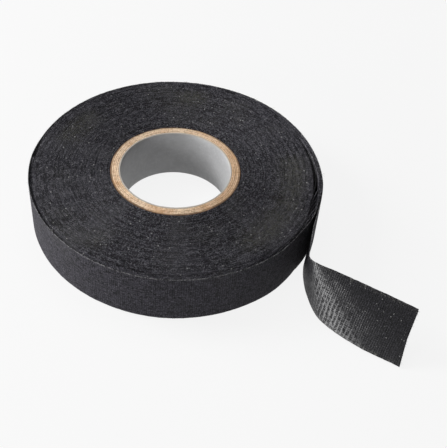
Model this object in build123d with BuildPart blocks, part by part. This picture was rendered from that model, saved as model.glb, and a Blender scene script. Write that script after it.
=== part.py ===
"""Roll of cloth-backed electrical tape on a board core, with its free end lifted and curled.

The bore stands on +Z, with the origin at the middle of the bore's bottom face. The tape is one
strip. It is wound clockwise, seen from above, with its adhesive side inwards. The last turn leaves
the roll along a tangent, runs straight, and then bends outwards as a cone about one apex.
"""

import os
from math import cos, radians, sin

from build123d import *

os.makedirs("parts", exist_ok=True)

# Tape strip, mm
tape_width = 19.0
cloth_thickness = 0.17
adhesive_thickness = 0.06
layer_pitch = 0.25

# Core, mm
bore_diameter = 38.0
core_diameter = 45.0
liner_thickness = 0.5
board_ply_count = 5
core_seat_gap = 0.02

# Wound roll, mm
roll_diameter = 100.0

# Free end, mm and degrees: lengths are measured along the strip from where it leaves the roll.
# The curl's lengths follow the tape's width, so that it keeps its shape and its lower edge stays
# just above the surface that the roll lies on.
lift_azimuth = -6.7
root_length = 12.0
apex_distance = tape_width * 30.0 / 19.0
apex_rise = tape_width * 3.0 / 19.0
top_edge_length = tape_width * 67.6 / 19.0
bottom_edge_length = tape_width * 69.5 / 19.0
fan_start_angle = -24.0
fan_end_angle = 74.5
curl_angle = 96.0
fold_count = 9
end_fold = 5
hinge_gap = 0.15

strip_thickness = cloth_thickness + adhesive_thickness
core_radius = core_diameter / 2
bore_radius = bore_diameter / 2

# The wound strip is a two-centre spiral: each half turn is an arc half a pitch larger in radius
# than the one before, about centres a quarter pitch to either side of the bore's axis.
winding_depth = roll_diameter / 2 - core_radius - core_seat_gap - strip_thickness
turn_count = round(winding_depth / layer_pitch)
centre_shift = layer_pitch / 4
first_radius = core_radius + core_seat_gap + centre_shift
winding_plane = Plane.XY.rotated((0, 0, lift_azimuth))


def half_turn(half, offset):
    """Adds one half turn's arc, moved outwards by offset from the strip's adhesive face."""
    starts_at_lift_side = half % 2 == 0
    centre = -centre_shift if starts_at_lift_side else centre_shift
    radius = first_radius + half * layer_pitch / 2 + offset
    CenterArc((centre, 0), radius, 0 if starts_at_lift_side else 180, -180)


def turn_start(turn, offset):
    """Distance from the bore's axis to where a turn starts, at the azimuth of the lift."""
    return first_radius - centre_shift + turn * layer_pitch + offset


def last_turn_layer(inner, outer):
    """Adds the outline of one layer of the outermost turn."""
    for half in (2 * turn_count - 2, 2 * turn_count - 1):
        half_turn(half, inner)
        half_turn(half, outer)
    for turn in (turn_count - 1, turn_count):
        Line((turn_start(turn, inner), 0), (turn_start(turn, outer), 0))


def save(piece, name):
    """Labels a finished piece and writes it to its own file."""
    piece.part.label = name
    export_step(piece.part, f"parts/{name}.step")


# Core: a paper liner inside a tube of board plies, each ply a sleeve on the one before
with BuildPart() as core_liner:
    with BuildSketch():
        Circle(bore_radius + liner_thickness)
        Circle(bore_radius, mode=Mode.SUBTRACT)
    extrude(amount=tape_width)
save(core_liner, "core_liner")

ply_thickness = (core_radius - bore_radius - liner_thickness) / board_ply_count
for ply in range(board_ply_count):
    ply_radius = bore_radius + liner_thickness + ply * ply_thickness
    with BuildPart() as core_ply:
        with BuildSketch():
            Circle(ply_radius + ply_thickness)
            Circle(ply_radius, mode=Mode.SUBTRACT)
        extrude(amount=tape_width)
    save(core_ply, f"core_ply_{ply + 1}")

# The turns under the outermost one, stuck together as one ring. Its outside follows the spiral,
# and the step where a turn has been gained is where the outermost turn begins.
with BuildPart() as wound_tape:
    with BuildSketch(winding_plane):
        with BuildLine():
            half_turn(2 * turn_count - 4, strip_thickness)
            half_turn(2 * turn_count - 3, strip_thickness)
            Line(
                (turn_start(turn_count - 2, strip_thickness), 0),
                (turn_start(turn_count - 1, strip_thickness), 0),
            )
        make_face()
        Circle(core_radius + core_seat_gap, mode=Mode.SUBTRACT)
    extrude(amount=tape_width)
save(wound_tape, "wound_tape")

# The outermost turn, as its two layers
layers = {"adhesive": (0, adhesive_thickness), "cloth": (adhesive_thickness, strip_thickness)}
for layer, (inner, outer) in layers.items():
    with BuildPart() as outer_turn:
        with BuildSketch(winding_plane):
            with BuildLine():
                last_turn_layer(inner, outer)
            make_face()
        extrude(amount=tape_width)
    save(outer_turn, f"outer_turn_{layer}")

# Free end. Every fold line runs through the apex, a little above the strip's top edge, so each
# facet is a wedge of the flat strip on a plane through the apex. Sketch x runs along the strip
# and sketch y up it, both from the apex, and each plane's normal leaves the adhesive face.
outward = winding_plane.x_dir
travel = winding_plane.y_dir * -1
lift_point = outward * turn_start(turn_count, 0)
apex = lift_point + travel * apex_distance + Vector(0, 0, tape_width + apex_rise)
stretch_plane = Plane(origin=apex, x_dir=travel, z_dir=outward * -1)

fan_step = (fan_end_angle - fan_start_angle) / fold_count
fold_fans = [fan_start_angle + (fold + 0.5) * fan_step for fold in range(fold_count)]
fold_angle = curl_angle / fold_count
reach = 4 * (bottom_edge_length + tape_width)


def crease_direction(plane, fan_angle):
    """Direction of the fold line that leaves the apex downwards at fan_angle from square."""
    return plane.x_dir * sin(radians(fan_angle)) - plane.y_dir * cos(radians(fan_angle))


def folded(plane, fan_angle):
    """The next facet's plane, turned about the fold line at fan_angle."""
    crease = Axis((0, 0, 0), crease_direction(plane, fan_angle) * -1)
    return Plane(
        origin=plane.origin,
        x_dir=plane.x_dir.rotate(crease, fold_angle),
        z_dir=plane.z_dir.rotate(crease, fold_angle),
    )


facet_planes = [stretch_plane]
for fan in fold_fans:
    facet_planes.append(folded(facet_planes[-1], fan))


def fan_point(fan_angle):
    """A point on the fold line at fan_angle, well past the strip."""
    return (reach * sin(radians(fan_angle)), -reach * cos(radians(fan_angle)))


def facet_face(fan_from, fan_to, start_length=0):
    """Adds the wedge of the flat strip between two fold lines, clear of both hinge lines."""
    Polygon((0, 0), fan_point(fan_from), fan_point(fan_to), align=None)
    Polygon(
        (start_length - apex_distance, -apex_rise),
        (top_edge_length - apex_distance, -apex_rise),
        (bottom_edge_length - apex_distance, -apex_rise - tape_width),
        (start_length - apex_distance, -apex_rise - tape_width),
        align=None,
        mode=Mode.INTERSECT,
    )
    for fan_angle in (fold_fans[0], fold_fans[end_fold]):
        with Locations(Location((0, 0, 0), (0, 0, fan_angle))):
            Rectangle(2 * hinge_gap, 2 * reach, mode=Mode.SUBTRACT)


# The fan's first side starts level with the strip, and its last fold line ends at the cut end
fan_edges = [-89.0, *fold_fans, 89.0]
for layer, (inner, outer) in layers.items():
    with BuildPart() as tail_root:
        with BuildSketch(stretch_plane.offset(-inner)):
            with Locations((root_length / 2 - apex_distance, -apex_rise - tape_width / 2)):
                Rectangle(root_length - 2 * hinge_gap, tape_width)
        extrude(amount=inner - outer)
    save(tail_root, f"tail_root_{layer}")

    with BuildPart() as tail_middle:
        with BuildSketch(stretch_plane.offset(-inner)):
            facet_face(fan_edges[0], fan_edges[1], root_length + hinge_gap)
        extrude(amount=inner - outer)
    save(tail_middle, f"tail_middle_{layer}")

    with BuildPart() as tail_curl:
        for side in range(1, end_fold + 1):
            with BuildSketch(facet_planes[side].offset(-inner)):
                facet_face(fan_edges[side], fan_edges[side + 1])
            extrude(amount=inner - outer)
    save(tail_curl, f"tail_curl_{layer}")

    with BuildPart() as tail_end:
        for side in range(end_fold + 1, fold_count + 1):
            with BuildSketch(facet_planes[side].offset(-inner)):
                facet_face(fan_edges[side], fan_edges[side + 1])
            extrude(amount=inner - outer)
    save(tail_end, f"tail_end_{layer}")

# Hinge lines of the free end, each through the middle of the strip's thickness
half_strip = outward * (strip_thickness / 2)
hinges = {
    "tail_peel": (lift_point + half_strip, Vector(0, 0, 1)),
    "tail_flex": (lift_point + half_strip + travel * root_length, Vector(0, 0, 1)),
    "tail_bend": (apex + half_strip, crease_direction(stretch_plane, fold_fans[0]) * -1),
    "tail_tip_flex": (
        apex - facet_planes[end_fold].z_dir * (strip_thickness / 2),
        crease_direction(facet_planes[end_fold], fold_fans[end_fold]) * -1,
    ),
}
for name, (point, direction) in hinges.items():
    print(name, [round(v, 4) for v in point], [round(v, 6) for v in direction])
print("turns", turn_count)
print("wound outer radius", round(turn_start(turn_count, strip_thickness), 3))
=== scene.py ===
"""Roll of cloth-backed electrical tape on a board core, with its free end lifted and curled.

Lengths in the shape functions are millimetres and become metres when a mesh is made. The strip has
two coordinates of its own: run, the distance along it from where it leaves the roll, and across,
the height up it from the bottom edge. Depth is the distance from the adhesive face to the cloth.
"""

import bpy
import numpy as np
from mathutils import Matrix


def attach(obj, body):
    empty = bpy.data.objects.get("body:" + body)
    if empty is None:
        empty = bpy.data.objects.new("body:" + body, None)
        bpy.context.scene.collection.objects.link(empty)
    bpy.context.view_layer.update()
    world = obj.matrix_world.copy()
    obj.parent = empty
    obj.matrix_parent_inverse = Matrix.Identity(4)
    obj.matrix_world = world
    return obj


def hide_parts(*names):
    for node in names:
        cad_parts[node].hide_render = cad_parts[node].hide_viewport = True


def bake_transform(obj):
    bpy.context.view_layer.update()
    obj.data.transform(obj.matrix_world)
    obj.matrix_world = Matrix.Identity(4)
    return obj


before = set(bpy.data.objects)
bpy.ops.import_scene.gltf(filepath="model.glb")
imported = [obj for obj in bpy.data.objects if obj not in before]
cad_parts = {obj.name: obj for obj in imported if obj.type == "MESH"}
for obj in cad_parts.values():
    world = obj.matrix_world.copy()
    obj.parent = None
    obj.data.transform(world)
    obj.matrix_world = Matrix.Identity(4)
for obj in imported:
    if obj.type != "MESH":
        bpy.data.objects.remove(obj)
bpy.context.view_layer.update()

# Tape strip and roll, mm
WIDTH = 19.0
GLUE = 0.06
STRIP = 0.23
PITCH = 0.25
CORE_RADIUS = 22.5
SEAT_GAP = 0.02
TURNS = 109
FIRST_RADIUS = CORE_RADIUS + SEAT_GAP + PITCH / 4
LAST_RADIUS = FIRST_RADIUS + (2 * TURNS - 1) * PITCH / 2
WEFT_PITCH = 0.72
WARP_PITCH = 0.68
WEAVE_DEPTH = 0.075
LAYER_GAP = 0.001

# Loose outer turns, mm: how far the strip stands off where it lifts, and two radii inside them
LIFT_SLACK = 1.2
LOOSE_RADIUS = 49.75
RIM_RADIUS = 49.95

# Core, mm
BORE_RADIUS = 19.0
LINER = 0.5
PLY = 0.6

# Free end: a flat stretch, then a cone about the apex, then a flat piece up to the cut
LIFT = np.radians(-6.7)
OUT = np.array([np.cos(LIFT), np.sin(LIFT), 0.0])
TRAVEL = np.array([np.sin(LIFT), -np.cos(LIFT), 0.0])
UP = np.array([0.0, 0.0, 1.0])
APEX_RUN = 30.0
APEX_HEIGHT = WIDTH + 3.0
FAN_START = np.radians(-24.0)
FAN_END = np.radians(74.5)
CURL = np.radians(96.0)
TOP_LENGTH = 67.6
BOTTOM_LENGTH = 69.5


def knots(place, seed, spacing=1.0):
    """Smooth random curve: random heights at even knots, eased from one knot to the next."""
    table = np.random.default_rng(seed).uniform(-1.0, 1.0, 4096)
    at = np.asarray(place, float) / spacing
    low = np.floor(at).astype(int)
    part = at - low
    eased = part * part * (3.0 - 2.0 * part)
    return table[low % 4096] * (1.0 - eased) + table[(low + 1) % 4096] * eased


def patches(x, y, seed, spacing_x, spacing_y):
    """Smooth random surface: random heights on an even grid, eased across each square."""
    table = np.random.default_rng(seed).uniform(-1.0, 1.0, (256, 256))
    u, v = np.asarray(x, float) / spacing_x, np.asarray(y, float) / spacing_y
    i, j = np.floor(u).astype(int), np.floor(v).astype(int)
    p, q = u - i, v - j
    p, q = p * p * (3.0 - 2.0 * p), q * q * (3.0 - 2.0 * q)
    low = table[i % 256, j % 256] * (1.0 - p) + table[(i + 1) % 256, j % 256] * p
    high = table[i % 256, (j + 1) % 256] * (1.0 - p) + table[(i + 1) % 256, (j + 1) % 256] * p
    return low * (1.0 - q) + high * q


def ease(value, start, end):
    """0 before start, 1 after end, and an S-shaped rise between them."""
    t = np.clip((value - start) / (end - start), 0.0, 1.0)
    return t * t * (3.0 - 2.0 * t)


def unit(vectors):
    """The same directions, each with a length of 1."""
    return vectors / np.linalg.norm(vectors, axis=-1, keepdims=True)


def make_piece(name, points, faces, material, strip=None):
    """Mesh object from a list of points and a list of (corner indices, smooth) face sets.

    The enclosed volume is summed over the faces. If it is negative the faces point inwards, and
    every face's corners are reversed.
    """
    volume = 0.0
    for corners, _ in faces:
        first = points[corners[:, 0]]
        for k in range(1, corners.shape[1] - 1):
            cross = np.cross(points[corners[:, k]], points[corners[:, k + 1]])
            volume += np.einsum("ij,ij->", first, cross)
    if volume < 0.0:
        faces = [(corners[:, ::-1], smooth) for corners, smooth in faces]
    loops = np.concatenate([corners.ravel() for corners, _ in faces])
    sizes = np.concatenate([np.full(len(c), c.shape[1]) for c, _ in faces])
    mesh = bpy.data.meshes.new(name)
    mesh.vertices.add(len(points))
    mesh.vertices.foreach_set("co", (points * 0.001).astype(np.float32).ravel())
    mesh.loops.add(len(loops))
    mesh.loops.foreach_set("vertex_index", loops.astype(np.int32))
    mesh.polygons.add(len(sizes))
    mesh.polygons.foreach_set("loop_start", (np.cumsum(sizes) - sizes).astype(np.int32))
    mesh.polygons.foreach_set("use_smooth", np.concatenate([np.full(len(c), s) for c, s in faces]))
    mesh.update(calc_edges=True)
    if strip is not None:
        layer = mesh.attributes.new("strip", "FLOAT_VECTOR", "POINT")
        layer.data.foreach_set("vector", strip.astype(np.float32).ravel())
    mesh.materials.append(material)
    piece = bpy.data.objects.new(name, mesh)
    bpy.context.scene.collection.objects.link(piece)
    return piece


def grid_faces(index):
    """Quads between neighbouring rows and columns of an index grid."""
    corners = (index[:-1, :-1], index[1:, :-1], index[1:, 1:], index[:-1, 1:])
    return np.stack([c.ravel() for c in corners], axis=1)


def closed_layer(name, front, back, strip_front, strip_back, material):
    """Closed thin layer from a front grid and a back grid with the same number of columns.

    Long edges are strips of quads from the front's outer rows to the back's, and each end is one
    many-sided face.
    """
    n, m, k = front.shape[0], front.shape[1], back.shape[1]
    f = np.arange(n * m).reshape(n, m)
    b = n * m + np.arange(n * k).reshape(n, k)
    bottom = np.stack([f[1:, 0], f[:-1, 0], b[:-1, 0], b[1:, 0]], axis=1)
    top = np.stack([f[:-1, -1], f[1:, -1], b[1:, -1], b[:-1, -1]], axis=1)
    faces = [
        (grid_faces(f), True),
        (grid_faces(b)[:, ::-1], True),
        (bottom, False),
        (top, False),
        (np.concatenate([f[0], b[0, ::-1]])[None, :], False),
        (np.concatenate([f[-1, ::-1], b[-1]])[None, :], False),
    ]
    points = np.concatenate([front.reshape(-1, 3), back.reshape(-1, 3)])
    strip = np.concatenate([strip_front.reshape(-1, 3), strip_back.reshape(-1, 3)])
    return make_piece(name, points, faces, material, strip)


def ring_index(rings):
    """Numbers of the points in each ring, and the same with the first point again at the end."""
    index = np.arange(rings.shape[0] * rings.shape[1]).reshape(rings.shape[:2])
    return index, np.concatenate([index, index[:, :1]], axis=1)


def tube(name, rings, strip, material):
    """Closed tube through rings of points, with a many-sided face on each end."""
    index, around = ring_index(rings)
    faces = [
        (grid_faces(around), True),
        (index[0][None, :], False),
        (index[-1, ::-1][None, :], False),
    ]
    return make_piece(name, rings.reshape(-1, 3), faces, material, strip.reshape(-1, 3))


def hoop(name, rings, strip, material):
    """Ring-shaped piece: the last ring of points joins the first, so it has no ends."""
    _, around = ring_index(rings)
    around = np.concatenate([around, around[:1]], axis=0)
    return make_piece(
        name, rings.reshape(-1, 3), [(grid_faces(around), True)], material, strip.reshape(-1, 3)
    )


# ---------------------------------------------------------------------------------------- shapes


def wound(angle, offset):
    """Point on the two-centre spiral at a winding angle in radians, clockwise from the lift.

    Half turn k is an arc about a centre a quarter pitch to one side of the axis and then the
    other. Its radius is the first one plus k half pitches, plus the offset.
    """
    half = np.clip(np.floor(angle / np.pi + 1e-9), 0, 2 * TURNS - 1)
    centre = np.where(half % 2 == 0, -PITCH / 4, PITCH / 4)
    radius = FIRST_RADIUS + half * PITCH / 2 + offset
    along_out = (centre + radius * np.cos(angle))[..., None] * OUT
    return along_out + (radius * np.sin(angle))[..., None] * TRAVEL


def azimuth_of(angle):
    """Azimuth in degrees, from -180 to 180, of a winding angle in radians."""
    return (np.degrees(LIFT - angle) + 180.0) % 360.0 - 180.0


def ledge_radius(azimuth):
    """Radius of the line round the pack outside which the turns have worked loose.

    It takes in eight turns at the right, a dozen at the front, and only the outermost turn
    elsewhere.
    """
    return np.interp(
        azimuth,
        [-180, -140, -120, -100, -75, -55, -40, -30, -22, -12, -4, 55, 80, 100, 180],
        [49.45, 49.45, 47.6, 46.9, 47.3, 48.4, 49.3, 49.45, 49.2, 48.4, 48.0, 48.0, 48.4, 49.45, 49.45],
    )


def turn_rise(angle, radius):
    """How far the turn at this winding angle and radius has slid up out of the pack.

    Turns outside the ledge stand up, with a thin dip along it. At the left the turns just under
    the outermost one have sunk.
    """
    azimuth = azimuth_of(angle)
    height = np.interp(
        azimuth,
        [-180, -150, -110, -70, -45, -20, 0, 45, 70, 95, 150, 180],
        [0.0, 0.03, 0.12, 0.14, 0.22, 0.40, 0.42, 0.36, 0.18, 0.02, 0.0, 0.0],
    )
    past = radius - ledge_radius(azimuth)
    rise = height * ease(past, -0.1, 0.25) - 1.2 * height * np.exp(-((past + 0.12) / 0.22) ** 2)
    sunk = ease(azimuth, -180, -168) * ease(-azimuth, 108, 130) + ease(azimuth, 164, 180)
    return rise - 0.95 * sunk * ease(radius, 48.1, 48.9) * ease(-radius, -49.50, -49.44)


def turn_slack(angle, radius):
    """How far the loose turns stand off from the pack, outwards.

    The whole slack opens at the ledge at the right, where it leaves a gap, and is shared out
    over several turns at the front.
    """
    azimuth = azimuth_of(angle)
    slack = np.interp(
        azimuth,
        [-180, -165, -150, -130, -110, -90, -60, -45, -25, -12]
        + [-6.7, 1, 9, 15, 21, 28, 38, 60, 80, 168, 180],
        [0.3, 0.2, 0.12, 0.15, 0.35, 0.75, 0.8, 1.0, 1.0, 1.12]
        + [LIFT_SLACK, LIFT_SLACK, 0.9, 0.65, 0.45, 0.28, 0.2, 0.15, 0, 0, 0.3],
    )
    spread = np.interp(
        azimuth,
        [-180, -140, -120, -75, -45, -30, -15, -3, 5, 180],
        [0.1, 0.1, 2.4, 2.2, 0.5, 0.35, 0.55, 0.35, 0.12, 0.12],
    )
    past = radius - ledge_radius(azimuth)
    return slack * ease((past + 0.1) / spread, 0.0, 1.0)


def weave_height(run, across):
    """Plain weave from 0 to 1: warp and weft ridges, each on top at every other crossing."""
    a, b = np.pi * run / WEFT_PITCH, np.pi * across / WARP_PITCH
    over = np.sin(a) * np.sin(b)
    ridges = (1.0 + over) * np.abs(np.sin(b)) + (1.0 - over) * np.abs(np.sin(a))
    return np.clip(ridges / 2.0, 0.0, 1.0)


def cloth_depth(run, across):
    """Depth of the cloth's outer face: the strip's thickness less a sunk weave.

    Threads wander and vary in thickness.
    """
    drift = 0.12 * patches(run, across, 11, 5.0, 3.0)
    slack = 0.75 + 0.25 * patches(run, across, 12, 1.4, 1.4)
    return STRIP - WEAVE_DEPTH * (1.0 - weave_height(run + drift, across + drift)) * slack


def glue_depth(run, across):
    """Depth of the adhesive's free face.

    Ribs run across the strip where the weft shows through, with weaker lines along it and a thin
    uneven coat. Where the strip curls most tightly, every other rib is pushed up into a crease.
    """
    wobble = 0.10 * patches(run, across, 21, 4.0, 2.5)
    ribs = np.cos(2.0 * np.pi * (run + wobble) / WEFT_PITCH)
    lines = np.cos(2.0 * np.pi * (across + wobble) / WARP_PITCH)
    strength = 0.6 + 0.4 * patches(run, across, 22, 3.0, 2.0)
    fan = np.degrees(np.arctan2(run - APEX_RUN, APEX_HEIGHT - across))
    creased = ease(fan, 8.0, 30.0) * ease(-fan, -64.0, -44.0) * (0.25 + 0.75 * ease(-across, -15.0, -7.0))
    creased = creased * (0.75 + 0.5 * patches(run, across, 25, 2.5, 2.5))
    creases = np.cos(np.pi * (run + 2.0 * wobble) / WEFT_PITCH) * creased
    coat = patches(run, across, 23, 0.45, 0.45) + 0.6 * patches(run, across, 24, 0.2, 0.25)
    fine = 0.013 * ribs * (1.0 - 0.5 * creased) + 0.006 * lines
    return 0.018 - fine * strength - 0.011 * creases * (0.5 + 0.5 * strength) - 0.010 * coat


def relief(depth, is_cloth):
    """0 in the hollows between threads and 1 on their crowns, from a free face's depth."""
    if is_cloth:
        return np.clip(1.0 - (STRIP - depth) / WEAVE_DEPTH, 0.0, 1.0)
    return np.clip(0.5 + (0.012 - depth) / 0.05, 0.0, 1.0)


def free_end(run, across, depth):
    """Point of the lifted strip.

    Behind the lift it follows the roll's last arc. Then it is flat as far as the first side of a
    fan of lines through the apex. Inside the fan it is a cone, whose opening angle makes the fan
    roll up through the curl angle. Past the fan's last side it is flat again. Every region is a
    distance and a direction from the apex, plus the depth along the surface's own normal. The
    slack of the outermost turn dies away along the flat stretch. A small lean is added: the
    bottom edge towards the roll on the flat stretch, and out from under the top one on the curl.
    """
    run, across, depth = np.broadcast_arrays(run, across, depth)
    lift_point = (LAST_RADIUS + PITCH / 4) * OUT
    apex = lift_point + APEX_RUN * TRAVEL + APEX_HEIGHT * UP
    fan = np.arctan2(run - APEX_RUN, APEX_HEIGHT - across)
    reach = np.hypot(run - APEX_RUN, APEX_HEIGHT - across)
    slope = np.arctan((FAN_END - FAN_START) / CURL)
    ruling = np.sin(FAN_START) * TRAVEL - np.cos(FAN_START) * UP
    turn = np.cos(FAN_START) * TRAVEL + np.sin(FAN_START) * UP
    axis = np.cos(slope) * ruling + np.sin(slope) * OUT
    side = np.sin(slope) * ruling - np.cos(slope) * OUT
    roll = ((np.clip(fan, FAN_START, FAN_END) - FAN_START) / np.sin(slope))[..., None]
    radial = np.cos(roll) * side + np.sin(roll) * turn
    along = np.cos(slope) * axis + np.sin(slope) * radial
    normal = np.sin(slope) * axis - np.cos(slope) * radial
    sideways = -np.sin(roll) * side + np.cos(roll) * turn
    past = np.maximum(fan - FAN_END, 0.0)[..., None]
    before = np.minimum(fan - FAN_START, 0.0)[..., None]
    swing = past + before
    cone = apex + reach[..., None] * (np.cos(swing) * along + np.sin(swing) * sideways)
    cone = cone + depth[..., None] * normal
    upward = across / WIDTH
    near_roll = ease(run, 9.0, 16.0) * (1.0 - ease(run, 16.0, 27.0))
    on_curl = ease(run, 30.0, 42.0) * (1.0 - 0.5 * ease(run, 56.0, 69.0))
    lean = 0.85 * (1.0 - upward) * near_roll + (1.4 - 2.2 * upward) * on_curl
    cone = cone - lean[..., None] * normal * [1.0, 1.0, 0.0]
    cone = cone + (LIFT_SLACK * (1.0 - ease(run, 1.0, 19.0)))[..., None] * OUT
    arc = run / (LAST_RADIUS + STRIP / 2)
    angle = 2.0 * np.pi * TURNS + arc
    radius = LAST_RADIUS + depth + turn_slack(angle, np.full(run.shape, LOOSE_RADIUS))
    wrapped = (PITCH / 4 + radius * np.cos(arc))[..., None] * OUT
    wrapped = wrapped + (radius * np.sin(arc))[..., None] * TRAVEL + across[..., None] * UP
    return np.where((run < 0.0)[..., None], wrapped, cone)


def ruling_run(fan_degrees, across):
    """Run of the fan line at this angle where it crosses each height."""
    return APEX_RUN + np.tan(np.radians(fan_degrees)) * (APEX_HEIGHT - across)


def end_run(across):
    """Run of the cut end: a slanted cut, slightly bowed, with a ragged thread here and there."""
    slant = BOTTOM_LENGTH + (TOP_LENGTH - BOTTOM_LENGTH) * across / WIDTH
    bow = 0.35 - 0.5 * np.sin(np.pi * across / WIDTH)
    return slant + bow + 0.10 * knots(across, 31, 0.7) + 0.05 * knots(across, 32, 0.25)


def selvedge(across, run):
    """The strip's long edges wander a little: the height is pulled in near either edge."""
    pull = 0.05 * knots(run, 33, 1.1) + 0.03 * knots(run, 34, 0.3) - 0.06
    return across + pull * ease(across, 18.2, 19.0) - pull * ease(-across, -0.8, 0.0)


# ------------------------------------------------------------------------------------ materials


class Tree:
    """Adds nodes to a material or a group, with their settings and inputs given together."""

    def __init__(self, tree):
        self.tree = tree

    def feed(self, node, inputs):
        """Link the inputs that are given as sockets, and set the others to their values."""
        for key, value in inputs.items():
            if isinstance(value, bpy.types.NodeSocket):
                self.tree.links.new(value, node.inputs[key])
            else:
                node.inputs[key].default_value = value

    def add(self, kind, inputs=None, **settings):
        """New node with its settings and inputs."""
        node = self.tree.nodes.new(kind)
        for key, value in settings.items():
            setattr(node, key, value)
        self.feed(node, inputs or {})
        return node

    def math(self, operation, a, b=0.0, c=0.0):
        return self.add("ShaderNodeMath", {0: a, 1: b, 2: c}, operation=operation).outputs[0]

    def scaled(self, vector, scale):
        inputs = {0: vector, 1: scale}
        return self.add("ShaderNodeVectorMath", inputs, operation="MULTIPLY").outputs[0]

    def noise(self, vector, scale, detail=2.0, rough=0.5):
        inputs = {"Vector": vector, "Scale": scale, "Detail": detail, "Roughness": rough}
        return self.add("ShaderNodeTexNoise", inputs).outputs["Fac"]

    def band(self, value, low, high, out_low=0.0, out_high=1.0):
        """S-shaped step from one output to the other as the value goes from low to high."""
        inputs = {0: value, 1: low, 2: high, 3: out_low, 4: out_high}
        kind = "ShaderNodeMapRange"
        return self.add(kind, inputs, interpolation_type="SMOOTHSTEP").outputs[0]

    def blend(self, amount, first, second, how="MIX"):
        inputs = {0: amount, 6: first, 7: second}
        node = self.add("ShaderNodeMix", inputs, data_type="RGBA", blend_type=how)
        return node.outputs[2]

    def tint(self, colour, amount, weight, other):
        """The colour, moved towards another by an amount times a weight."""
        return self.blend(self.math("MULTIPLY", amount, weight), colour, other)

    def weighted(self, *parts):
        """Sum of values, each times its own weight."""
        total = None
        for value, weight in parts:
            part = self.math("MULTIPLY", value, weight)
            total = part if total is None else self.math("ADD", total, part)
        return total

    def parts(self, vector):
        """The vector's three parts."""
        return self.add("ShaderNodeSeparateXYZ", {0: vector}).outputs

    def bump(self, height, strength, distance):
        inputs = {"Height": height, "Strength": strength, "Distance": distance}
        return self.add("ShaderNodeBump", inputs).outputs[0]

    def group(self, tree, inputs):
        return self.add("ShaderNodeGroup", inputs, node_tree=tree).outputs


def new_group(name, inputs, outputs):
    """Empty node group with named inputs and outputs, and its two end nodes."""
    tree = bpy.data.node_groups.new(name, "ShaderNodeTree")
    for label, kind, value in inputs:
        socket = tree.interface.new_socket(label, in_out="INPUT", socket_type=kind)
        if value is not None:
            socket.default_value = value
    for label, kind in outputs:
        tree.interface.new_socket(label, in_out="OUTPUT", socket_type=kind)
    return tree, Tree(tree), tree.nodes.new("NodeGroupInput").outputs, tree.nodes.new("NodeGroupOutput")


FLOAT, VECTOR = "NodeSocketFloat", "NodeSocketVector"


def lint_group():
    """Specks of lint and soft dusty patches on a place in metres.

    Specks are the middles of scattered cells, kept where a coarser noise allows them. Dust is a
    broad noise broken up by a fine one.
    """
    tree, t, given, out = new_group(
        "lint_and_dust",
        [("Place", VECTOR, None), ("Cells", FLOAT, 900.0), ("Share", FLOAT, 0.5), ("Size", FLOAT, 0.2)],
        [("Lint", FLOAT), ("Dust", FLOAT)],
    )
    cells = t.add("ShaderNodeTexVoronoi", {"Vector": given["Place"], "Scale": given["Cells"]})
    chosen = t.add("ShaderNodeSeparateColor", {0: cells.outputs["Color"]}).outputs[0]
    where = t.noise(given["Place"], 90.0, 2.0)
    keep = t.math("LESS_THAN", chosen, t.math("MULTIPLY", given["Share"], where))
    near = t.math("SUBTRACT", 1.0, t.math("DIVIDE", cells.outputs["Distance"], given["Size"]))
    lint = t.math("MULTIPLY", t.math("MAXIMUM", near, 0.0), keep)
    broad = t.band(t.noise(given["Place"], 42.0, 3.0, 0.6), 0.50, 0.72)
    fine = t.band(t.noise(given["Place"], 900.0, 2.0, 0.6), 0.40, 0.65, 0.35, 1.0)
    t.feed(out, {"Lint": lint, "Dust": t.math("MULTIPLY", broad, fine)})
    return tree


def thread_group():
    """Shade of the woven threads and of their fibres, from the strip's own coordinates in mm.

    Each warp and each weft thread has its own shade, from a noise stretched along the thread.
    Fibres are a finer noise of the same kind. The strip's third coordinate is the height of the
    weave. The Crown mask comes from it, and the materials use it to paint shade into the hollows
    between threads.
    """
    tree, t, given, out = new_group(
        "thread_shade",
        [("Strip", VECTOR, None)],
        [("Tone", FLOAT), ("Fibres", FLOAT), ("Crown", FLOAT)],
    )
    warp = t.noise(t.scaled(given["Strip"], (0.35, 1.5, 0.0)), 1.0, 2.0, 0.7)
    weft = t.noise(t.scaled(given["Strip"], (1.4, 0.45, 0.0)), 1.0, 2.0, 0.7)
    tone = t.weighted((warp, 1.15), (weft, 0.85))
    t.feed(out, {"Tone": t.band(tone, 0.80, 1.20)})
    warp_fibres = t.noise(t.scaled(given["Strip"], (1.1, 2.6, 0.0)), 1.0, 3.0, 0.8)
    weft_fibres = t.noise(t.scaled(given["Strip"], (2.6, 1.1, 0.0)), 1.0, 3.0, 0.8)
    fibres = t.math("MULTIPLY", t.math("ADD", warp_fibres, weft_fibres), 0.5)
    crown = t.band(t.parts(given["Strip"])[2], 0.20, 0.95)
    t.feed(out, {"Fibres": fibres, "Crown": crown})
    return tree


def wear_group():
    """Frayed, lighter dashes along the strip's two cut edges, from its own coordinates in mm."""
    tree, t, given, out = new_group(
        "edge_fray", [("Strip", VECTOR, None), ("Depth", FLOAT, 0.35)], [("Wear", FLOAT)]
    )
    parts = t.parts(given["Strip"])
    top = t.math("SUBTRACT", WIDTH, parts[1])
    nearest = t.math("MINIMUM", top, parts[1])
    edge = t.math("SUBTRACT", 1.0, t.math("DIVIDE", nearest, given["Depth"]))
    dashes = t.noise(t.scaled(given["Strip"], (1.3, 0.6, 1.0)), 1.0, 3.0, 0.7)
    wear = t.math("MULTIPLY", t.math("MAXIMUM", edge, 0.0), t.band(dashes, 0.44, 0.60, 0.06, 1.0))
    t.feed(out, {"Wear": wear})
    return tree


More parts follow.
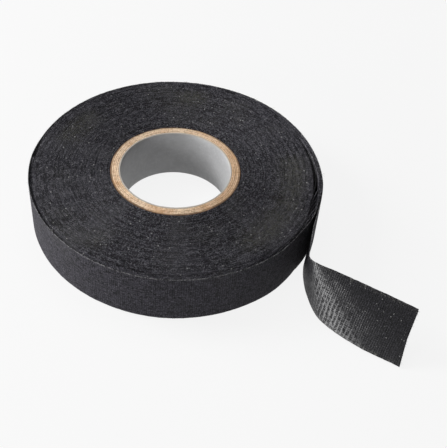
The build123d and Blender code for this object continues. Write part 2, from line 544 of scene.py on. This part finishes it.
def fibre_group():
    """Pressed fibres of paper and board: one noise stretched sideways and one lengthwise."""
    tree, t, given, out = new_group(
        "paper_fibres",
        [("Place", VECTOR, None), ("Scale", FLOAT, 1.0)],
        [("Fibres", FLOAT), ("Mottle", FLOAT)],
    )
    sized = t.add(
        "ShaderNodeVectorMath", {0: given["Place"], "Scale": given["Scale"]}, operation="SCALE"
    ).outputs[0]
    first = t.noise(t.scaled(sized, (900.0, 2600.0, 1500.0)), 1.0, 3.0, 0.65)
    second = t.noise(t.scaled(sized, (2600.0, 900.0, 1500.0)), 1.0, 3.0, 0.65)
    both = t.math("MULTIPLY", t.math("ADD", first, second), 0.5)
    t.feed(out, {"Fibres": both, "Mottle": t.noise(sized, 220.0, 3.0, 0.6)})
    return tree


lint_and_dust = lint_group()
thread_shade = thread_group()
edge_fray = wear_group()
paper_fibres = fibre_group()


def new_material(name):
    """Empty material with its Principled shader and output, and the two coordinate sources."""
    material = bpy.data.materials.new(name)
    material.use_nodes = True
    material.node_tree.nodes.clear()
    t = Tree(material.node_tree)
    shader = t.add("ShaderNodeBsdfPrincipled")
    output = t.add("ShaderNodeOutputMaterial")
    t.tree.links.new(shader.outputs[0], output.inputs[0])
    place = t.add("ShaderNodeTexCoord").outputs["Object"]
    strip = t.add("ShaderNodeAttribute", attribute_name="strip").outputs["Vector"]
    return material, t, shader, place, strip


def cloth_material():
    """Matt charcoal cotton: threads of slightly different shade, painted shade in the hollows between
    threads, lint, frayed pale edges.
    """
    material, t, shader, place, strip = new_material("charcoal_cloth")
    threads = t.group(thread_shade, {"Strip": strip})
    specks = t.group(lint_and_dust, {"Place": place, "Cells": 1100.0, "Share": 0.30, "Size": 0.22})
    wear = t.group(edge_fray, {"Strip": strip, "Depth": 0.45})
    colour = t.blend(threads["Tone"], (0.004, 0.004, 0.006, 1), (0.062, 0.058, 0.074, 1))
    fibres = t.band(threads["Fibres"], 0.49, 0.61)
    colour = t.tint(colour, fibres, 0.72, (0.185, 0.176, 0.208, 1))
    # Painted shade: the hollows between threads are darkened nearly to black.
    painted_hollow_shade = t.math("SUBTRACT", 1.0, threads["Crown"])
    colour = t.tint(colour, painted_hollow_shade, 0.95, (0.002, 0.002, 0.003, 1))
    colour = t.tint(colour, specks["Dust"], 0.12, (0.16, 0.16, 0.15, 1))
    colour = t.tint(colour, specks["Lint"], 0.4, (0.45, 0.45, 0.44, 1))
    colour = t.tint(colour, wear["Wear"], 0.75, (0.38, 0.375, 0.39, 1))
    t.feed(shader, {
        "Base Color": colour,
        "Roughness": t.band(threads["Fibres"], 0.3, 0.7, 0.95, 0.76),
        "Normal": t.bump(threads["Fibres"], 0.7, 0.00008),
        "Specular IOR Level": 0.30,
        "Sheen Weight": 0.05,
        "Sheen Roughness": 0.5,
    })
    return material


def edge_material():
    """Cut edges of the wound strip: every turn has its own shade, with lint caught on them.

    The strip's third coordinate is the turn number. Broad lighter sectors, a painted reflection that
    stands in for the sheen of the fine concentric edges, come from a noise on the direction from the
    axis, and the grain from the place. Dusty patches are sectors of a ring near the outside, broken
    up by clumps.
    """
    material, t, shader, place, strip = new_material("charcoal_cut_edges")
    parts = t.parts(strip)
    turn_place = t.add("ShaderNodeCombineXYZ", {0: parts[2], 1: t.math("MULTIPLY", parts[0], 0.05)})
    turn_tone = t.noise(turn_place.outputs[0], 0.42, 4.0, 0.75)
    flat = t.scaled(place, (1.0, 1.0, 0.0))
    direction = t.add("ShaderNodeVectorMath", {0: flat}, operation="NORMALIZE").outputs[0]
    # Sectors round the axis, used below for the painted reflection of the concentric edges.
    sectors = t.noise(direction, 2.1, 3.0, 0.55)
    reach = t.add("ShaderNodeVectorMath", {0: flat}, operation="LENGTH").outputs["Value"]
    swept = t.parts(direction)
    ring_place = t.add(
        "ShaderNodeCombineXYZ",
        {
            0: t.math("MULTIPLY", swept[0], 15.0),
            1: t.math("MULTIPLY", swept[1], 15.0),
            2: t.math("MULTIPLY", reach, 1100.0),
        },
    )
    streaks = t.noise(ring_place.outputs[0], 1.0, 3.0, 0.75)
    grain = t.noise(place, 2300.0, 1.0, 0.9)
    clumps = t.noise(place, 800.0, 3.0, 0.8)
    specks = t.group(lint_and_dust, {"Place": place, "Cells": 1100.0, "Share": 0.10, "Size": 0.34})
    shade = t.weighted((turn_tone, 0.50), (grain, 0.28), (streaks, 0.22))
    colour = t.blend(t.band(shade, 0.40, 0.60), (0.001, 0.001, 0.002, 1), (0.054, 0.052, 0.064, 1))
    bright = t.band(t.weighted((grain, 0.65), (streaks, 0.35)), 0.50, 0.63)
    colour = t.tint(colour, bright, 0.62, (0.200, 0.196, 0.215, 1))
    # Painted reflection: lighter sectors round the axis stand in for the sheen of the concentric edges.
    colour = t.blend(t.band(sectors, 0.42, 0.64, 0.0, 0.26), colour, (0.100, 0.098, 0.108, 1))
    ring = t.math("MULTIPLY", t.band(reach, 0.032, 0.042), t.band(reach, 0.042, 0.0475, 1.0, 0.0))
    dusty = t.math("MULTIPLY", t.band(t.noise(direction, 1.6, 2.0), 0.44, 0.60), ring)
    dusty = t.math("MULTIPLY", dusty, t.band(clumps, 0.40, 0.60, 0.2, 1.0))
    colour = t.tint(colour, dusty, 0.42, (0.110, 0.108, 0.084, 1))
    colour = t.tint(colour, specks["Dust"], 0.20, (0.110, 0.110, 0.095, 1))
    colour = t.tint(colour, specks["Lint"], 0.9, (0.60, 0.60, 0.58, 1))
    t.feed(shader, {
        "Base Color": colour,
        "Roughness": t.band(grain, 0.3, 0.7, 0.75, 0.95),
        "Normal": t.bump(grain, 0.6, 0.00012),
        "Specular IOR Level": 0.25,
    })
    return material


def glue_material():
    """Tacky black adhesive: a glossy film on the crowns of the ribs, dull between them, with painted
    shade in the hollows.

    The film is a clear coat whose weight follows the ribs' height and a coarse mottling. It is
    strongest between two of the fan's lines, where the strip curls most tightly.
    """
    material, t, shader, place, strip = new_material("black_adhesive")
    specks = t.group(lint_and_dust, {"Place": place, "Cells": 1300.0, "Share": 0.26, "Size": 0.28})
    threads = t.group(thread_shade, {"Strip": strip})
    wear = t.group(edge_fray, {"Strip": strip, "Depth": 1.6})
    mottle = t.noise(t.scaled(strip, (1.0, 0.8, 0.0)), 1.0, 3.0, 0.8)
    grain = t.noise(t.scaled(strip, (2.3, 2.1, 0.0)), 1.0, 2.0, 0.85)
    colour = t.blend(t.band(grain, 0.42, 0.60), (0.001, 0.001, 0.001, 1), (0.030, 0.028, 0.037, 1))
    fibres = t.band(threads["Fibres"], 0.51, 0.62)
    colour = t.tint(colour, fibres, 0.60, (0.130, 0.125, 0.148, 1))
    # Painted shade: the hollows between the ribs are darkened towards black.
    painted_hollow_shade = t.math("SUBTRACT", 1.0, threads["Crown"])
    colour = t.tint(colour, painted_hollow_shade, 0.7, (0.002, 0.002, 0.003, 1))
    colour = t.tint(colour, specks["Lint"], 0.8, (0.6, 0.6, 0.58, 1))
    gritty = t.math("MULTIPLY", wear["Wear"], t.band(mottle, 0.46, 0.60))
    colour = t.tint(colour, gritty, 0.45, (0.42, 0.42, 0.38, 1))
    t.feed(shader, {
        "Base Color": colour,
        "Roughness": t.band(mottle, 0.30, 0.70, 0.55, 0.80),
    })
    spot = t.parts(strip)
    crown = t.band(spot[2], 0.10, 0.66)
    film = t.math("MULTIPLY", t.band(mottle, 0.28, 0.56, 0.60, 1.0), crown)
    past_apex = t.math("SUBTRACT", spot[0], APEX_RUN)
    fan = t.math("DIVIDE", past_apex, t.math("SUBTRACT", APEX_HEIGHT, spot[1]))
    film = t.math("MULTIPLY", film, t.band(fan, 0.0, 0.80, 0.08, 1.0))
    film = t.math("MULTIPLY", film, t.band(fan, 0.75, 1.40, 1.0, 0.12))
    t.feed(shader, {"Coat Weight": film})
    height = t.math("ADD", grain, t.math("MULTIPLY", threads["Fibres"], 0.5))
    t.feed(shader, {
        "Normal": t.bump(height, 0.9, 0.00015),
        "Specular IOR Level": 0.3,
        "Coat Roughness": 0.27,
        "Coat IOR": 3.6,
    })
    return material


def board_material(light, dark):
    """Kraft board: pressed fibres, mottled brown, and a darker brown band round the outside.

    The strip's third coordinate is the distance from the axis in mm, and places the thin dark
    lines between plies. The ring is browner on its +X side.
    """
    material, t, shader, place, strip = new_material("kraft_board")
    fibres = t.group(paper_fibres, {"Place": place, "Scale": 1.0})
    parts = t.parts(strip)
    flat = t.scaled(place, (1.0, 1.0, 0.0))
    direction = t.add("ShaderNodeVectorMath", {0: flat}, operation="NORMALIZE").outputs[0]
    sectors = t.noise(direction, 1.3, 3.0, 0.6)
    eastward = t.parts(direction)[0]
    toasted = t.band(eastward, 0.1, 1.0, 0.0, 0.55)
    mottle = t.weighted((fibres["Mottle"], 0.6), (sectors, 0.4))
    colour = t.blend(t.band(mottle, 0.32, 0.56), dark, light)
    colour = t.blend(toasted, colour, dark)
    streak = t.band(fibres["Fibres"], 0.38, 0.56, 0.60, 0.0)
    colour = t.blend(streak, colour, (dark[0] * 0.55, dark[1] * 0.48, dark[2] * 0.42, 1))
    wobble = t.math("MULTIPLY", t.math("SUBTRACT", fibres["Mottle"], 0.5), 1.2)
    dark_outer_band = t.band(t.math("ADD", parts[2], wobble), 21.7, 22.4, 0.0, 0.88)
    colour = t.blend(dark_outer_band, colour, (0.13, 0.060, 0.027, 1))
    ply = t.math("MULTIPLY", t.math("SUBTRACT", parts[2], BORE_RADIUS + LINER), 1.0 / PLY)
    off_line = t.math("PINGPONG", ply, 0.5)
    broken = t.band(sectors, 0.40, 0.58, 0.2, 1.0)
    line = t.math("MULTIPLY", t.band(off_line, 0.02, 0.16, 0.75, 0.0), broken)
    colour = t.blend(line, colour, (0.20, 0.10, 0.045, 1))
    t.feed(shader, {
        "Base Color": colour,
        "Roughness": t.band(fibres["Fibres"], 0.3, 0.7, 0.95, 0.78),
        "Normal": t.bump(fibres["Fibres"], 0.8, 0.00020),
        "Specular IOR Level": 0.25,
    })
    return material


def liner_material():
    """Smooth grey-white paper with faint fibres, browner at its upper edge."""
    material, t, shader, place, strip = new_material("grey_liner_paper")
    fibres = t.group(paper_fibres, {"Place": place, "Scale": 0.6})
    specks = t.group(lint_and_dust, {"Place": place, "Cells": 500.0, "Share": 0.25, "Size": 0.16})
    parts = t.parts(strip)
    colour = t.blend(t.band(fibres["Mottle"], 0.3, 0.7), (0.44, 0.44, 0.445, 1), (0.52, 0.52, 0.525, 1))
    colour = t.blend(t.band(fibres["Fibres"], 0.45, 0.65, 0.0, 0.25), colour, (0.68, 0.69, 0.70, 1))
    colour = t.tint(colour, specks["Lint"], 0.35, (0.30, 0.28, 0.26, 1))
    worn = t.band(parts[1], WIDTH - 0.5, WIDTH, 0.0, 0.5)
    colour = t.blend(worn, colour, (0.58, 0.49, 0.39, 1))
    t.feed(shader, {
        "Base Color": colour,
        "Roughness": t.band(fibres["Mottle"], 0.3, 0.7, 0.50, 0.64),
        "Normal": t.bump(fibres["Fibres"], 0.35, 0.00004),
    })
    return material


def thread_material():
    """Loose cotton threads and lint, pale grey with darker stretches."""
    material, t, shader, place, _ = new_material("loose_threads")
    fibres = t.group(paper_fibres, {"Place": place, "Scale": 1.5})
    colour = t.blend(t.band(fibres["Mottle"], 0.35, 0.65), (0.07, 0.07, 0.08, 1), (0.40, 0.40, 0.42, 1))
    t.feed(shader, {
        "Base Color": colour,
        "Roughness": t.band(fibres["Fibres"], 0.3, 0.7, 0.95, 0.8),
    })
    return material


cloth = cloth_material()
cut_edges = edge_material()
glue = glue_material()
kraft = board_material((0.97, 0.77, 0.56, 1), (0.70, 0.43, 0.24, 1))
liner = liner_material()
cotton = thread_material()


# ------------------------------------------------------------------------------------- the roll


def wound_pack(name, first_turn, last_turn, steps):
    """Stretch of the wound strip: a six-sided profile carried along the spiral.

    Each turn has its own height, made of a slow change over several turns, a small one from turn
    to turn, a slow wander along the strip, and the rise of the turns that have slid out.
    """
    angle = 2.0 * np.pi * np.linspace(first_turn, last_turn, int((last_turn - first_turn) * steps) + 1)
    turn = angle / (2.0 * np.pi)
    radius = FIRST_RADIUS - PITCH / 4 + PITCH * turn
    run = (angle - 2.0 * np.pi * TURNS) * radius
    whole = np.floor(turn)
    settle = 0.05 * knots(whole, 41) + 0.07 * knots(turn, 42, 5.0)
    settle = settle + 0.05 * patches(turn, angle * 6.0, 43, 2.0, 3.0)
    fuzz = 0.030 * knots(run, 44, 0.9)
    joint = ease(turn - whole, 0.94, 1.0)
    settle = settle + joint * 0.05 * (knots(whole + 1, 41) - knots(whole, 41))
    rise = turn_rise(angle, radius)
    top = WIDTH - 0.10 + settle + fuzz + rise
    low = np.maximum(0.02, 0.10 + settle + 0.5 * rise)
    offsets = np.array([0.0, STRIP / 2, 0.228, 0.228, STRIP / 2, 0.0])
    heights = np.stack([low, low, low, top, top, top], axis=1)
    heights = heights + np.array([0.07, 0.0, 0.07, -0.07, 0.0, -0.07])
    rings = wound(angle[:, None], offsets[None, :] + turn_slack(angle, radius)[:, None])
    rings[..., 2] = heights
    shape = heights.shape
    strip = np.stack(
        [np.broadcast_to(run[:, None], shape), heights, np.broadcast_to(turn[:, None], shape)], axis=-1
    )
    piece = tube(name, rings, strip, cut_edges)
    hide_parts("wound_tape")
    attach(piece, "roll")


pack_turns = (0, 32, 60, 85, TURNS - 1)
for part in range(4):
    wound_pack(f"pack_turns_{part + 1}", pack_turns[part], pack_turns[part + 1], 300)


def outer_rise(angle):
    """Rise of the outermost turn: it follows the ledge, and is level again where it lifts off."""
    to_lift = 2.0 * np.pi * TURNS - angle
    from_start = angle - 2.0 * np.pi * (TURNS - 1)
    level = ease(to_lift, 0.12, 0.6) * ease(from_start, 0.0, 0.3)
    return turn_rise(angle, np.full(angle.shape, RIM_RADIUS)) * level


def outer_turn(name, start, end, layer):
    """Part of the outermost turn, as one of the strip's two layers.

    Start and end are runs. The cloth's outer face has its weave as height, and the other faces
    are plain.
    """
    is_cloth = layer == "cloth"
    columns = int((end - start) / (WEFT_PITCH / 4 if is_cloth else 0.8)) + 1
    rows = int(WIDTH / (WARP_PITCH / 4)) + 1 if is_cloth else 5
    run = np.linspace(start, end, columns)[:, None]
    middle = LAST_RADIUS + STRIP / 2
    angle = 2.0 * np.pi * TURNS + run / middle

    def face(across, depth):
        slack = turn_slack(angle, FIRST_RADIUS - PITCH / 4 + PITCH * angle / (2.0 * np.pi))
        points = wound(np.broadcast_to(angle, depth.shape), depth + slack)
        points[..., 2] = selvedge(across, run) + outer_rise(angle)
        places = np.broadcast_arrays(run, across, relief(depth, is_cloth))
        return points, np.stack(places, axis=-1)

    up = np.linspace(0.0, WIDTH, rows)[None, :]
    few = np.linspace(0.0, WIDTH, 3)[None, :]
    if is_cloth:
        round_off = 0.06 * (1.0 - ease(np.minimum(up, WIDTH - up), 0.0, 0.3))
        front = face(up, cloth_depth(run, up) - round_off)
        back = face(few, np.full((columns, 3), GLUE + LAYER_GAP))
    else:
        front = face(up, np.full((columns, rows), GLUE))
        back = face(few, np.full((columns, 3), 0.0))
    piece = closed_layer(name, front[0], back[0], front[1], back[1], cloth if is_cloth else glue)
    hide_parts("outer_turn_cloth" if is_cloth else "outer_turn_adhesive")
    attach(piece, "roll")


root_start = -6.0
turn_length = 2.0 * np.pi * (LAST_RADIUS + STRIP / 2 - PITCH / 4)
cuts = np.linspace(-turn_length, root_start, 4)
for part in range(3):
    outer_turn(f"outer_cloth_{part + 1}", cuts[part], cuts[part + 1], "cloth")
outer_turn("outer_adhesive", cuts[0], cuts[3], "adhesive")


# ------------------------------------------------------------------------------------- the core


def core_hoop(name, inner, outer, top, node, material, seed, edge_round=0.10, seam=0.0):
    """Sleeve of the core: a rounded rectangle carried round the axis.

    Its cut ends are uneven, with a height that wanders round the ring, and a lap seam can stand
    proud inside the bore as a low step.
    """
    columns = 420
    around = np.linspace(0.0, 2.0 * np.pi, columns, endpoint=False)[:, None]
    arc = np.degrees(around)
    rough = 0.05 * patches(arc, 0.0 * arc, seed, 9.0, 1.0)
    rough = rough + 0.03 * patches(arc, 0.0 * arc, seed + 1, 2.2, 1.0)
    ends = rough * ease(arc, 0.0, 6.0) * ease(-arc, -360.0, -354.0)
    thick = outer - inner
    r = min(edge_round, thick / 3)
    side_points = 9
    side = np.linspace(0.0, 1.0, side_points)
    inner_side = np.stack([np.full(side_points, inner), r + (top - 2 * r) * side], axis=1)
    outer_side = inner_side[::-1].copy()
    outer_side[:, 0] = outer
    caps = np.array([[inner + r, top], [inner + thick / 2, top + 0.02], [outer - r, top]])
    feet = np.array([[outer - r, 0.0], [inner + thick / 2, 0.0], [inner + r, 0.0]])
    profile = np.concatenate([inner_side, caps, outer_side, feet])
    radial = np.broadcast_to(profile[None, :, 0], (columns, len(profile))).copy()
    height = np.broadcast_to(profile[None, :, 1], (columns, len(profile))).copy()
    height[:, side_points - 1:side_points + 4] += ends
    height[:, 2 * side_points + 2:] += 0.4 * np.abs(ends)
    lap = seam * ease(arc, 262.0, 262.4) * ease(-arc, -300.0, -292.0)
    radial[:, :side_points] -= lap
    rings = np.stack([radial * np.cos(around), radial * np.sin(around), height], axis=-1)
    strip = np.stack([np.zeros(height.shape), height, radial], axis=-1)
    piece = hoop(name, rings, strip, material)
    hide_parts(node)
    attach(piece, "roll")
    return piece


ply_tops = (19.03, 19.06, 18.94, 18.97, 18.88)
ply_gap = 0.006
for number, top in enumerate(ply_tops, 1):
    inner = BORE_RADIUS + LINER + PLY * (number - 1)
    ply = core_hoop(
        f"board_ply_{number}", inner, inner + PLY - ply_gap, top, f"core_ply_{number}", kraft,
        60 + 2 * number,
    )
lining = core_hoop(
    "bore_lining", BORE_RADIUS, BORE_RADIUS + LINER - ply_gap, 19.04, "core_liner", liner, 80, 0.06, 0.10
)


# --------------------------------------------------------------------------------- the free end


def tail_piece(name, starts, ends, layer, columns):
    """Part of the lifted strip between two lines across it, as one of its two layers.

    Columns run from one line to the other at every height. The cloth's outer face has the weave
    as height, and the adhesive's free face its ribs. The faces where the layers meet are plain.
    """
    is_cloth = layer == "cloth"
    rows = int(WIDTH / (WARP_PITCH / (4 if is_cloth else 5))) + 1
    share = np.linspace(0.0, 1.0, columns)[:, None]

    def face(across, depth_of):
        run = starts(across) + share * (ends(across) - starts(across))
        across = selvedge(across, run)
        depth = depth_of(run, across)
        places = np.broadcast_arrays(run, across, relief(depth, is_cloth))
        return free_end(run, across, depth), np.stack(places, axis=-1)

    up = np.linspace(0.0, WIDTH, rows)[None, :]
    few = np.linspace(0.0, WIDTH, 14)[None, :]
    if is_cloth:
        front = face(up, cloth_depth)
        back = face(few, lambda run, across: np.full(run.shape, GLUE + LAYER_GAP))
    else:
        front = face(up, glue_depth)
        back = face(few, lambda run, across: np.full(run.shape, GLUE))
    return closed_layer(name, front[0], back[0], front[1], back[1], cloth if is_cloth else glue)


def along_fan(fan_degrees, distance, reach):
    """A point of the cone's fan line, moved along the strip square to the line by a distance."""
    fan = np.radians(fan_degrees)
    run = APEX_RUN + reach * np.sin(fan) + distance * np.cos(fan)
    across = APEX_HEIGHT - reach * np.cos(fan) + distance * np.sin(fan)
    return free_end(np.array(run), np.array(across), np.array(STRIP / 2)) * 0.001


def level(run):
    """A point half-way up the strip, in metres."""
    return free_end(np.array(run), np.array(WIDTH / 2), np.array(STRIP / 2)) * 0.001


def across_line(run):
    """Line square across the strip at this run, as a function of the height."""
    return lambda across: np.full(np.shape(across), run)


def curl_start(across):
    """The fan's line at which the free end's last piece begins."""
    return ruling_run(10.0, across)


tail_parts = [
    ("root", "tail_root", across_line(root_start), across_line(6.0), 12.0),
    ("straight", "tail_middle", across_line(6.0), across_line(17.5), 11.5),
    ("bend", "tail_curl", across_line(17.5), curl_start, 16.0),
    ("curl", "tail_end", curl_start, end_run, 38.0),
]
tail_joins = [
    ("roll", "tail_root", level(-4.0), level(4.0)),
    ("tail_root", "tail_middle", level(8.5), level(15.5)),
    ("tail_middle", "tail_curl", along_fan(-18.53, -4.5, 12.0), along_fan(-18.53, 1.3, 12.0)),
    ("tail_curl", "tail_end", along_fan(36.19, -1.2, 16.0), along_fan(36.19, 6.0, 16.0)),
]
for (part, node, starts, ends, length), (body_a, body_b, start, end) in zip(tail_parts, tail_joins):
    for layer, sample in (("cloth", WEFT_PITCH / 4), ("adhesive", WEFT_PITCH / 6)):
        piece = tail_piece(f"tail_{part}_{layer}", starts, ends, layer, int(length / sample) + 1)
        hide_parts(f"{node}_{layer}")
        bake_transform(piece)


# ------------------------------------------------------------------------------------- threads


def loose_threads(name, roots, headings, lengths, widths, seed, body):
    """Short curved fibres as three-sided tapering tubes.

    Each follows its heading and bends by a random sideways pull that grows with the square of the
    distance along it.
    """
    rng = np.random.default_rng(seed)
    count, steps = len(roots), 5
    share = np.linspace(0.0, 1.0, steps)[None, :, None]
    pull = rng.normal(0.0, 0.45, (count, 3)) * [1.0, 1.0, 0.25]
    spine = roots[:, None, :] + lengths[:, None, None] * (
        headings[:, None, :] * share + pull[:, None, :] * share**2
    )
    side = unit(np.cross(headings, rng.normal(0.0, 1.0, (count, 3))))
    other = unit(np.cross(headings, side))
    turn = np.array([0.0, 2.0, 4.0]) * np.pi / 3.0
    round_it = (
        np.cos(turn)[None, None, :, None] * side[:, None, None, :]
        + np.sin(turn)[None, None, :, None] * other[:, None, None, :]
    )
    taper = (1.0 - 0.55 * share)[..., None] * widths[:, None, None, None]
    points = spine[:, :, None, :] + taper * round_it
    index = np.arange(count * steps * 3).reshape(count, steps, 3)
    around = np.concatenate([index, index[:, :, :1]], axis=2)
    corners = (around[:, :-1, :-1], around[:, 1:, :-1], around[:, 1:, 1:], around[:, :-1, 1:])
    quads = np.stack([c.ravel() for c in corners], axis=1)
    faces = [(quads, True), (index[:, 0, :], False), (index[:, -1, ::-1], False)]
    strip = np.zeros((count * steps * 3, 3))
    piece = make_piece(name, points.reshape(-1, 3), faces, cotton, strip)
    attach(piece, body)


def round_the_roll(places):
    """Direction round the roll's axis at each place."""
    return unit(np.cross(places * [1, 1, 0], UP))


rng = np.random.default_rng(7)
count = 520
angle = 2.0 * np.pi * rng.uniform(TURNS - 1, TURNS - 0.02, count)
outer = FIRST_RADIUS - PITCH / 4 + PITCH * angle / (2.0 * np.pi)
roots = wound(angle, rng.uniform(0.02, STRIP - 0.04, count) + turn_slack(angle, outer))
roots[:, 2] = WIDTH - 0.10 + outer_rise(angle)
along = round_the_roll(roots)
headings = along * rng.choice([-1.0, 1.0], (count, 1)) + rng.normal(0, 0.35, (count, 3)) + 0.25 * UP
headings = unit(headings)
loose_threads(
    "rim_threads", roots, headings, rng.uniform(0.25, 0.9, count), rng.uniform(0.015, 0.035, count),
    8, "roll",
)

count = 420
turn = rng.uniform(1.0, 107.5, count)
angle = 2.0 * np.pi * turn
radius = FIRST_RADIUS + PITCH * turn
roots = wound(angle, STRIP / 2 + turn_slack(angle, radius - PITCH / 2))
roots[:, 2] = WIDTH - 0.13 + turn_rise(angle, radius)
along = round_the_roll(roots)
headings = along + rng.normal(0, 0.6, (count, 3)) * [1, 1, 0.15] + 0.22 * UP
headings = unit(headings)
loose_threads(
    "pack_lint", roots, headings, rng.uniform(0.15, 0.6, count), rng.uniform(0.012, 0.03, count),
    9, "roll",
)

count = 70
height = rng.uniform(0.3, 18.7, count)
run = end_run(height)
depth = rng.uniform(0.08, 0.2, count)
roots = free_end(run - 0.12, height, depth)
headings = free_end(run + 0.4, height, depth) - roots
headings = headings + rng.normal(0.0, 0.10, (count, 3))
headings = unit(headings)
loose_threads(
    "cut_end_threads", roots, headings, rng.uniform(0.2, 0.7, count), rng.uniform(0.02, 0.04, count),
    10, "tail_end",
)


# --------------------------------------------------------------------- floor, lights and camera


def floor_material():
    """Dark floor that shows nearly white by its own glow, so that shadows on it stay faint.

    The glow is weaker for diffuse rays, so that it lights the roll less than it shows.
    """
    material, t, shader, place, _ = new_material("pale_floor")
    tone = t.noise(place, 3.0, 1.0)
    colour = t.blend(tone, (0.075, 0.075, 0.075, 1), (0.09, 0.09, 0.09, 1))
    bounced = t.add("ShaderNodeLightPath").outputs["Is Diffuse Ray"]
    t.feed(shader, {
        "Emission Color": t.blend(bounced, (1, 1, 1, 1), (0.24, 0.24, 0.24, 1)),
        "Base Color": colour,
        "Roughness": 0.9,
        "Specular IOR Level": 0.1,
        "Emission Strength": 0.865,
    })
    return material


floor_mesh = bpy.data.meshes.new("floor")
floor_mesh.from_pydata([(-4, -4, 0), (4, -4, 0), (4, 4, 0), (-4, 4, 0)], [], [(0, 1, 2, 3)])
floor_mesh.transform(Matrix.Translation((0.0, 0.0, -0.0002)))
floor_mesh.materials.append(floor_material())
floor = bpy.data.objects.new("floor", floor_mesh)
bpy.context.scene.collection.objects.link(floor)


def set_up(place, across, above, back):
    """Matrix that puts an object at a place with its three axes along these directions."""
    axes = Matrix(np.stack([across, above, back], axis=1).tolist()).to_4x4()
    return Matrix.Translation(place) @ axes


def area_light(name, place, target, size, power):
    """Large soft square light, aimed from its place at a target."""
    data = bpy.data.lights.new(name, "AREA")
    data.shape = "SQUARE"
    data.size = size
    data.energy = power
    light = bpy.data.objects.new(name, data)
    back = unit(np.array(place) - np.array(target))
    across = unit(np.cross(UP, back))
    light.matrix_world = set_up(place, across, np.cross(back, across), back)
    bpy.context.scene.collection.objects.link(light)


area_light("key_left", (-0.66, 0.10, 0.46), (0.0, 0.0, 0.01), 0.36, 5.6)
area_light("overhead", (-0.05, 0.28, 0.85), (0.0, 0.0, 0.01), 0.50, 2.0)
area_light("low_left", (-0.45, -0.49, 0.17), (0.03, -0.03, 0.01), 0.22, 1.8)

world = bpy.data.worlds.new("studio")
world.use_nodes = True
world.node_tree.nodes["Background"].inputs[0].default_value = (1.0, 1.0, 1.0, 1.0)
world.node_tree.nodes["Background"].inputs[1].default_value = 0.07
bpy.context.scene.world = world
bpy.context.scene.view_settings.view_transform = "Standard"

camera_data = bpy.data.cameras.new("camera")
camera_data.sensor_width = 36.0
camera_data.lens = 70.294
camera_data.clip_start = 0.01
camera_data.clip_end = 10.0
camera = bpy.data.objects.new("camera", camera_data)
bpy.context.scene.collection.objects.link(camera)
camera_place = (0.0181484, -0.22375, 0.2229443)
pitch, roll = 0.796916, 0.088738
forward = np.array([0.0, np.cos(pitch), -np.sin(pitch)])
right = np.array([1.0, 0.0, 0.0])
above = np.cross(right, forward)
right_turned = np.cos(roll) * right + np.sin(roll) * above
above_turned = -np.sin(roll) * right + np.cos(roll) * above
camera.matrix_world = set_up(camera_place, right_turned, above_turned, -forward)
bpy.context.scene.camera = camera

bpy.context.view_layer.update()
